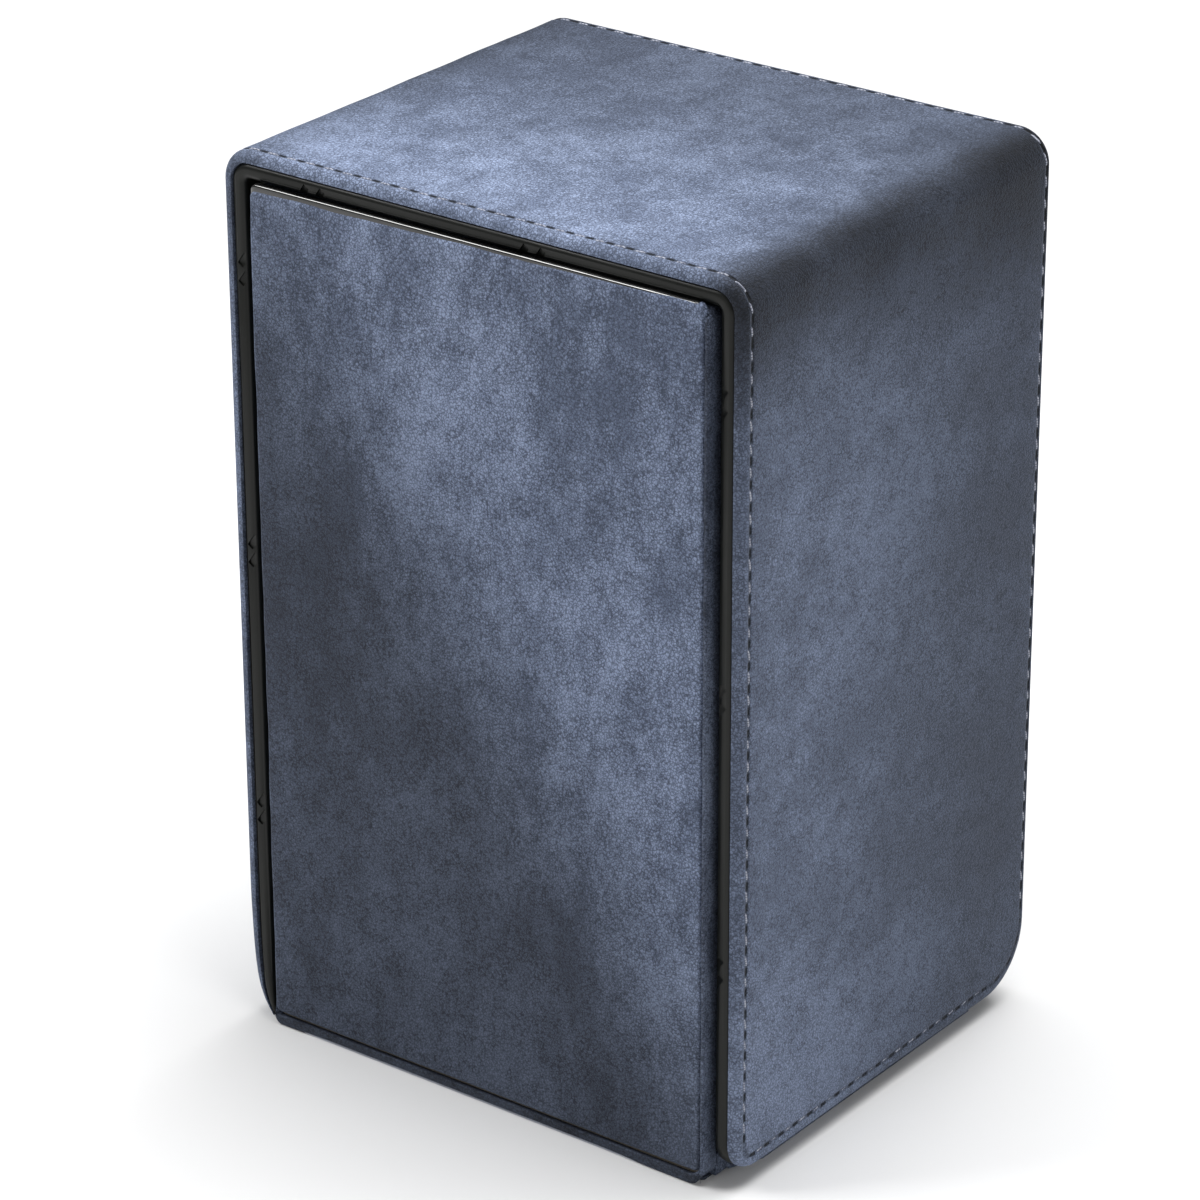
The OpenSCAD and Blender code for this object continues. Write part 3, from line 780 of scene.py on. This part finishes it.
def lowerRow():  # along the lower hem and round its back corner
    places = []
    turn = archLook["heelTurn"]
    for side in (-1, 1):
        for i in range(lowCount):
            run = (i + 0.5) * lowPitch
            angle = max(0, (run - lowStraight) / turn)
            y = frontRow + archLook["toeTurn"] + min(run, lowStraight) + turn * math.sin(angle)
            z = lowRow + turn * (1 - math.cos(angle))
            places.append((Vector((side * halfWidth, y, z)), Vector((0, math.cos(angle), math.sin(angle))),
                           Vector((side, 0, 0))))
    return places


stitchRow("frontHemStitches", archRow(frontRow, archLook["toeTurn"]), "front_hem_stitching")
stitchRow("backHemStitches", archRow(backRow, archLook["heelTurn"]), "back_hem_stitching")
stitchRow("lowerHemStitches", lowerRow(), "lower_hem_stitching", deeper=0.12 * mm)
print("stitches made")


# the front flap

flapLook = {
    "leftInset": 0.65 * mm,
    "rightOver": 0.35 * mm,
    "footDrop": 0.36 * mm,
    "wall": 0.55 * mm,
    "topCorner": 1.2 * mm,
    "lowLeftCorner": 1.2 * mm,
    "lowRightCorner": 3.0 * mm,
    "frontRoll": 0.34 * mm,
    "backRoll": 0.25 * mm,
    "footBorder": 1.7 * mm,
    "footRoll": 0.25 * mm,
    "footSag": 0.42 * mm,
    "edgeSetBack": 0.9 * mm,
    "faceInsets": (0.8 * mm, 0.42 * mm, 1.85 * mm),
    "faceCorner": 1.3 * mm,
    "faceRoll": 0.7 * mm,
    "topRise": 0.95 * mm,
    "topSlope": 1.25 * mm,
    "crown": 0.3 * mm,
}
wrapLow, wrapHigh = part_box("flap_wrap")
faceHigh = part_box("flap_face")[1]
leftInset, rightInset, footInset = flapLook["faceInsets"]
faceLeft = wrapLow.x + leftInset
faceRight = wrapHigh.x - rightInset
faceFoot = wrapLow.z + footInset


def makeFlapWrap():  # leather round the flap's edge, open towards the board
    low = wrapLow + Vector((flapLook["leftInset"], 0, -flapLook["footDrop"]))
    high = wrapHigh + Vector((flapLook["rightOver"], 0, 0))
    wrap = addBlock("flapWrap", low, high)
    roundEdges(wrap, flapLook["topCorner"], 4, lambda e: isAlong(e, Y, z=high.z))
    for side, corner in ((low.x, "lowLeftCorner"), (high.x, "lowRightCorner")):
        roundEdges(wrap, flapLook[corner], 7, lambda e: isAlong(e, Y, z=low.z, x=side))
    pick(wrap, "FACE", lambda f: abs(f.normal.y) > 0.9)
    bpy.ops.mesh.delete(type="FACE")
    finishWith(wrap, "SOLIDIFY", thickness=flapLook["wall"], offset=-1, use_even_offset=True)
    pick(wrap, "VERT", lambda v: v.co.y < low.y + 1 * mm and low.z + 0.5 * mm < v.co.z < low.z + 3 * mm
         and low.x + 0.5 * mm < v.co.x < high.x - 0.5 * mm)
    bpy.ops.transform.translate(value=(0, 0, flapLook["footBorder"] - flapLook["wall"]))
    roundEdges(wrap, flapLook["frontRoll"], 4, lambda e: liesAt(e, Y, low.y) and isSharp(e))
    roundEdges(wrap, flapLook["backRoll"], 2, lambda e: liesAt(e, Y, high.y) and isSharp(e))
    footCuts = [low.z + step * mm for step in (0.4, 0.9, 1.4)]
    sliceAcross(wrap, Z, evenCuts(low.z + 4 * mm, high.z, 2.5 * mm) + footCuts)
    sliceAcross(wrap, X, evenCuts(low.x, high.x, 4 * mm))
    sliceAcross(wrap, Y, [low.y + 1.2 * mm, low.y + 2.4 * mm])
    leaveAll()
    border = flapLook["footBorder"]
    for vertex in wrap.data.vertices:
        co = vertex.co
        toEnd = 1 - fading((abs(co.x + 4 * mm) - 30 * mm) / (12 * mm))
        if co.z < low.z + border and co.y < low.y + 1.5 * mm:  # the foot rolls under, lower at its ends
            share = 1 - (co.z - low.z) / border
            co.y += flapLook["footRoll"] * share ** 1.6
            co.z -= flapLook["footSag"] * toEnd * share
        elif co.y < low.y + 0.9 * mm and (co.x < low.x + 1.2 * mm or co.z > high.z - 1 * mm):
            co.y += flapLook["edgeSetBack"]  # the face runs to these edges
    rumple(wrap, 4 * mm, 0.28 * mm, lambda co: 1 if co.x > high.x - 1.5 * mm else 0)
    roundOver(wrap, 45)
    return settle(wrap, "flap", flapSuede, "suede", "flap_wrap")


def makeFlapFace():
    low = Vector((faceLeft, wrapLow.y, faceFoot))
    high = Vector((faceRight, faceHigh.y, faceHigh.z + 0.1 * mm))
    face = addBlock("flapFace", low, high)
    roundEdges(face, flapLook["faceCorner"], 5, lambda e: runs(e, Y))
    roundEdges(face, flapLook["faceRoll"], 4, lambda e: liesAt(e, Y, low.y))
    sliceEvenly(face, low, high, 3.5 * mm)
    leaveAll()
    for vertex in face.data.vertices:
        across = (vertex.co.x - low.x) / (high.x - low.x)
        up = (vertex.co.z - low.z) / (high.z - low.z)
        vertex.co.z += up ** 12 * (flapLook["topRise"] + flapLook["topSlope"] * (across ** 1.3 - 0.1))
        if vertex.co.y < low.y + 0.8 * mm:
            vertex.co.y -= flapLook["crown"] * math.sin(math.pi * across) * math.sin(math.pi * up)
    rumple(face, 30 * mm, 0.4 * mm)
    rumple(face, 9 * mm, 0.45 * mm,
           lambda co: 1 if co.x < low.x + 1.5 * mm or co.z > high.z - 3 * mm else 0)
    roundOver(face, 50)
    return settle(face, "flap", panelSuede, "suede", "flap_face")


trimLook = {"above": 0.75 * mm, "corner": 1.1 * mm, "edge": 0.36 * mm, "slope": 0.3 * mm, "wave": 0.3 * mm}


def makeTopTrim():  # glossy edge of the flap's stiffener, showing above the face
    low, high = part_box("flap_top_trim")
    front = low.y + 0.15 * mm
    top = high.z + trimLook["above"]
    trim = addBlock("flapTopTrim", Vector((low.x + 0.4 * mm, front, low.z - 0.5 * mm)),
                    Vector((high.x - 0.6 * mm, high.y + 0.1 * mm, top)))
    roundEdges(trim, trimLook["corner"], 4, lambda e: isAlong(e, Y, z=top))
    roundEdges(trim, trimLook["edge"], 3, lambda e: liesAt(e, Y, front) and middle(e).z > low.z)
    sliceAcross(trim, X, evenCuts(low.x, high.x, 1.5 * mm))
    leaveAll()
    for vertex in trim.data.vertices:
        if vertex.co.z > high.z:
            vertex.co.z += trimLook["slope"] * (vertex.co.x - low.x) / (high.x - low.x)
    rumple(trim, 6 * mm, trimLook["wave"], lambda co: 0.3 + 0.7 * max(0, co.x / high.x))
    roundOver(trim, 60)
    return settle(trim, "flap", glossTrim, "black_liner", "flap_top_trim")


makeFlapWrap()
makeFlapFace()
makeTopTrim()
print("flap made")


# the leatherette hinge under the flap

hingeLook = {
    "thickness": 0.5 * mm,
    "clearance": 0.03 * mm,
    "turnUp": 0.75 * mm,
    "rollRadius": 0.42 * mm,
    "left": -44.2 * mm,
    "right": 43 * mm,
    "flare": 3.4 * mm,
    "flareReach": 1.8 * mm,
    "fold": 5,
    "foldAngle": math.radians(80),
    "pale": (-40 * mm, 42 * mm),
}


def makeHinge():  # glued under the base, bare across the gap, and turned up under the flap's foot
    low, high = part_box("hinge_strip")
    left, right, radius, foot = (hingeLook[key] for key in ("left", "right", "rollRadius", "clearance"))
    startY, endY = high.y, wrapLow.y + hingeLook["turnUp"]
    leaveAll()
    bpy.ops.mesh.primitive_plane_add(size=1)
    hinge = bpy.context.object
    hinge.name = hinge.data.name = "hingeLeather"
    hinge.scale = (right - left, startY - endY, 1)
    hinge.location = ((left + right) / 2, (startY + endY) / 2, foot)
    bpy.ops.object.transform_apply(location=True, rotation=True, scale=True)
    pick(hinge, "EDGE", lambda e: isAlong(e, X, y=endY))
    spot = Vector((0, endY, foot))
    for i in range(1, hingeLook["fold"] + 1):
        turn = hingeLook["foldAngle"] * i / hingeLook["fold"]
        nextSpot = Vector((0, endY - radius * math.sin(turn), foot + radius * (1 - math.cos(turn))))
        bpy.ops.mesh.extrude_region_move(TRANSFORM_OT_translate={"value": nextSpot - spot})
        spot = nextSpot
    sliceAcross(hinge, X, evenCuts(left, right, 4 * mm))
    sliceAcross(hinge, Y, [low.y, low.y + 0.7 * mm, low.y + 1.4 * mm, low.y + 2.4 * mm]
                + evenCuts(low.y + 2.4 * mm, startY, 3 * mm))
    bpy.ops.mesh.select_all(action="SELECT")
    bpy.ops.mesh.normals_make_consistent(inside=False)
    leaveAll()
    for vertex in hinge.data.vertices:  # wider behind the flap's rounded foot corners
        co = vertex.co
        if near(co.x, left, right):
            share = 1 - fading((co.y - endY) / hingeLook["flareReach"])
            co.x += math.copysign(hingeLook["flare"], co.x) * share
    if sum(face.normal.z for face in hinge.data.polygons) > 0:  # the table side is the outside
        pick(hinge, "FACE", lambda f: True)
        bpy.ops.mesh.flip_normals()
    finishWith(hinge, "SOLIDIFY", thickness=hingeLook["thickness"], offset=-1)
    hinge.data.materials.append(flapSuede)
    hinge.data.materials.append(paintedFloorReflection)
    for face in hinge.data.polygons:  # painted reflection: its rolled front edge is made pale, standing in for the floor's light caught there
        if face.center.y < endY - 0.1 * mm and hingeLook["pale"][0] < face.center.x < hingeLook["pale"][1]:
            face.material_index = 1
    roundOver(hinge, 60)
    leaveAll()
    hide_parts("hinge_strip")
    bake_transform(hinge)
    return hinge


makeHinge()
print("hinge made")


# copies of moulded and cut pieces, with their edges broken

def mergedCopy(node, name):
    leaveAll()
    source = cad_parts[node]
    piece = bpy.data.objects.new(name, source.data.copy())
    bpy.context.scene.collection.objects.link(piece)
    piece.data.transform(source.matrix_world)
    piece.data.name = name
    pick(piece, "VERT", lambda v: True)
    bpy.ops.mesh.remove_doubles(threshold=0.002 * mm)
    bpy.ops.mesh.dissolve_limited(angle_limit=math.radians(1))
    leaveAll()
    return piece


def breakEdges(piece, width, rounds, angle=50):
    finishWith(piece, "BEVEL", width=width, segments=rounds, limit_method="ANGLE",
               angle_limit=math.radians(angle))
    roundOver(piece)


liner = mergedCopy("liner_arch", "linerArch")
breakEdges(liner, 0.12 * mm, 2)
settle(liner, "case", blackLiner, "black_liner", "liner_arch")
board = mergedCopy("shell_board_left", "leftBoard")
for piece in (liner, board):
    sliceLeg(piece)
    leaveAll()
    drawInLeg(piece)
settle(board, "case", blackboard, "board", "shell_board_left")
for node, name, body, material, slotName, width in (
        ("header_bar", "headerBar", "case", blackLiner, "black_liner", 0.4 * mm),
        ("shelf_board", "shelfBoard", "case", satinTray, "board", 0.3 * mm),
        ("card_tray", "cardTray", "case", satinTray, "tray_plastic", 0.45 * mm),
        ("drawer_box", "drawerBox", "case", satinTray, "tray_plastic", 0.45 * mm),
        ("card_divider", "cardDivider", "divider", satinTray, "tray_plastic", 0.4 * mm)):
    piece = mergedCopy(node, name)
    breakEdges(piece, width, 3, angle=40)
    settle(piece, body, material, slotName, node)
print("moulded pieces made")


# base, back panel and drawer front, covered in the same leather

coverLook = {"layer": 0.8 * mm, "corner": 1 * mm, "edge": 0.7 * mm, "grid": 5 * mm, "rumple": 0.3 * mm}


def makeBackSkin():  # open towards the board, its edges turned over
    low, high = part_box("back_skin")
    skin = addBlock("backSkin", low, high)
    roundEdges(skin, coverLook["corner"], 4, lambda e: isAlong(e, Y, z=high.z))
    pick(skin, "FACE", lambda f: f.normal.y < -0.9)
    bpy.ops.mesh.delete(type="FACE")
    roundEdges(skin, coverLook["edge"], 4, lambda e: liesAt(e, Y, high.y) and isSharp(e))
    sliceEvenly(skin, low, high, coverLook["grid"])
    finishWith(skin, "SOLIDIFY", thickness=coverLook["layer"], offset=-1)
    rumple(skin, 24 * mm, coverLook["rumple"], lambda co: 1 if co.y > high.y - 0.3 * mm else 0)
    roundOver(skin, 50)
    return settle(skin, "case", coverSuede, "suede", "back_skin")


stepLook = {"inner": 48 * mm, "front": -35 * mm, "setBack": 6.5 * mm}


def setBackSteps(piece):  # the base's side steps start behind the arch's raised toes
    for vertex in piece.data.vertices:
        if abs(vertex.co.x) > stepLook["inner"] and vertex.co.y < stepLook["front"]:
            vertex.co.y += stepLook["setBack"]


def makeBase():
    skin = mergedCopy("base_skin", "baseSkin")
    board = mergedCopy("base_board", "baseBoard")
    setBackSteps(skin)
    setBackSteps(board)
    breakEdges(skin, 0.35 * mm, 3)
    settle(skin, "case", coverSuede, "suede", "base_skin")
    return settle(board, "case", greyboard, "board", "base_board")


drawerLook = {"corner": 1.5 * mm, "roll": 1.1 * mm, "pad": 0.9 * mm}


def makeDrawerFront():  # padded leather over a board
    low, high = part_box("drawer_front")
    front = addBlock("drawerFront", low, high)
    roundEdges(front, drawerLook["corner"], 4, lambda e: runs(e, Y))
    roundEdges(front, drawerLook["roll"], 4, lambda e: liesAt(e, Y, low.y))
    sliceEvenly(front, low, high, 3 * mm, axes=(X, Z))
    leaveAll()
    for vertex in front.data.vertices:  # crowned away from its stitched edge
        if vertex.co.y < low.y + 1.2 * mm:
            across = math.sin(math.pi * (vertex.co.x - low.x) / (high.x - low.x))
            up = math.sin(math.pi * (vertex.co.z - low.z) / (high.z - low.z))
            vertex.co.y += drawerLook["pad"] * (1 - max(0, across * up) ** 0.4)
    rumple(front, 15 * mm, 0.2 * mm)
    roundOver(front, 50)
    return settle(front, "case", coverSuede, "suede", "drawer_front")


def makeDrawerPull():
    pull = mergedCopy("drawer_pull", "drawerPull")
    breakEdges(pull, 0.25 * mm, 2)
    return settle(pull, "case", coverSuede, "suede", "drawer_pull")


makeBackSkin()
makeBase()
front = makeDrawerFront()
makeDrawerPull()
print("base, back and drawer front made")


# felt and ribbon

feltLook = {"edge": 0.22 * mm, "grid": 5 * mm, "rumple": 0.12 * mm}


def makeFeltPanel(node, name, body, out, corner=0):  # out is the axis that the felt faces along
    low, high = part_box(node)
    panel = addBlock(name, low, high)
    if corner:
        roundEdges(panel, corner, 6, lambda e: isAlong(e, out, z=high.z))
    roundEdges(panel, feltLook["edge"], 2, lambda e: not runs(e, out))
    sliceEvenly(panel, low, high, feltLook["grid"], {X, Y, Z} - {out})
    rumple(panel, 18 * mm, feltLook["rumple"])
    roundOver(panel, 50)
    return settle(panel, body, greyFelt, "felt", node)


makeFeltPanel("base_felt", "baseFelt", "case", Z)
makeFeltPanel("shelf_felt", "shelfFelt", "case", Z)
makeFeltPanel("tray_felt", "trayFelt", "case", Z)
makeFeltPanel("drawer_felt", "drawerFelt", "case", Z)
makeFeltPanel("back_felt", "backFelt", "case", Y)
makeFeltPanel("bay_lining_top", "topLining", "case", Z)
makeFeltPanel("flap_lining", "flapLining", "flap", Y)


def makeSideLining(node, name):
    panel = mergedCopy(node, name)
    breakEdges(panel, feltLook["edge"], 2)
    return settle(panel, "case", greyFelt, "felt", node)


makeSideLining("bay_lining_left", "leftLining")
makeSideLining("bay_lining_right", "rightLining")

ribbonLook = {"thickness": 0.45 * mm, "fold": 0.8 * mm, "grid": 2 * mm}


def makeRibbon():  # runs down the front of the tray's lip and over into the tray
    low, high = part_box("lift_ribbon")
    strip = addBlock("liftRibbon", low, high)
    pick(strip, "FACE", lambda f: abs(f.normal.x) > 0.9 or f.normal.z < -0.9)
    bpy.ops.mesh.delete(type="FACE")
    roundEdges(strip, ribbonLook["fold"], 5, lambda e: isAlong(e, X, z=high.z))
    sliceEvenly(strip, low, high, ribbonLook["grid"], axes=(X, Z))
    finishWith(strip, "SOLIDIFY", thickness=ribbonLook["thickness"], offset=-1)
    roundOver(strip, 60)
    return settle(strip, "case", blueRibbon, "ribbon", "lift_ribbon")


makeRibbon()
print("felt and ribbon made")


# hidden boards and magnets keep their own shapes

for node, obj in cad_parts.items():
    if obj.hide_render:
        continue
    finish = nickel if "magnet" in node else blackboard if "shell" in node else greyboard
    obj.data.materials.clear()
    obj.data.materials.append(finish)
print("boards and magnets finished")


# floor, lights and camera

studio = {"floor": 2.0, "floorTone": 0.82, "world": 0.22, "top": 15.0, "key": 8.5, "right": 3.4, "front": 0.8}
middleOf = (0, 0, 0.08)


def makeFloor():
    leaveAll()
    bpy.ops.mesh.primitive_plane_add(size=2 * studio["floor"], location=(0, 0, 0))
    floor = bpy.context.object
    floor.name = "floor"
    material, tree, surface, _ = newMaterial("paleFloor")
    tone = studio["floorTone"]
    dress(tree, surface, Base_Color=(tone, tone, tone, 1), Roughness=0.9)
    floor.data.materials.append(material)


def addLight(name, spot, size, power):
    leaveAll()
    bpy.ops.object.light_add(type="AREA", location=spot)
    lamp = bpy.context.object
    lamp.name = name
    lamp.data.shape = "RECTANGLE"
    lamp.data.size, lamp.data.size_y = size
    lamp.data.energy = power
    lamp.rotation_euler = (Vector(middleOf) - Vector(spot)).to_track_quat("-Z", "Y").to_euler()


def makeCamera():
    view = {"place": Vector((0.4812, -0.6445, 0.4519)), "aim": Vector((-0.0049, -0.0038, 0.0800)),
            "roll": -0.184, "lens": 152.53}
    leaveAll()
    bpy.ops.object.camera_add(location=view["place"])
    camera = bpy.context.object
    camera.name = "camera"
    look = (view["aim"] - view["place"]).to_track_quat("-Z", "Y").to_matrix()
    turn = Matrix.Rotation(math.radians(view["roll"]), 3, "Z")
    camera.rotation_euler = (look @ turn).to_euler()
    camera.data.lens = view["lens"]
    camera.data.sensor_width = 36
    camera.data.clip_start = 0.01
    bpy.context.scene.camera = camera


makeFloor()
addLight("topSoftbox", (0.1, 0.25, 1.1), (0.8, 0.8), studio["top"])
addLight("keySoftbox", (-0.66, -0.5, 0.95), (0.5, 0.5), studio["key"])
addLight("rightSoftbox", (1.1, -0.1, 0.45), (0.7, 0.9), studio["right"])
addLight("frontFill", (-0.1, -1.3, 0.4), (0.9, 0.7), studio["front"])
world = bpy.data.worlds.new("studioAir")
bpy.context.scene.world = world
world.use_nodes = True
world.node_tree.nodes["Background"].inputs[0].default_value = (1, 1, 1, 1)
world.node_tree.nodes["Background"].inputs[1].default_value = studio["world"]
makeCamera()
bpy.context.scene.view_settings.view_transform = "Standard"
print("floor, lights and camera made")

leaveAll()
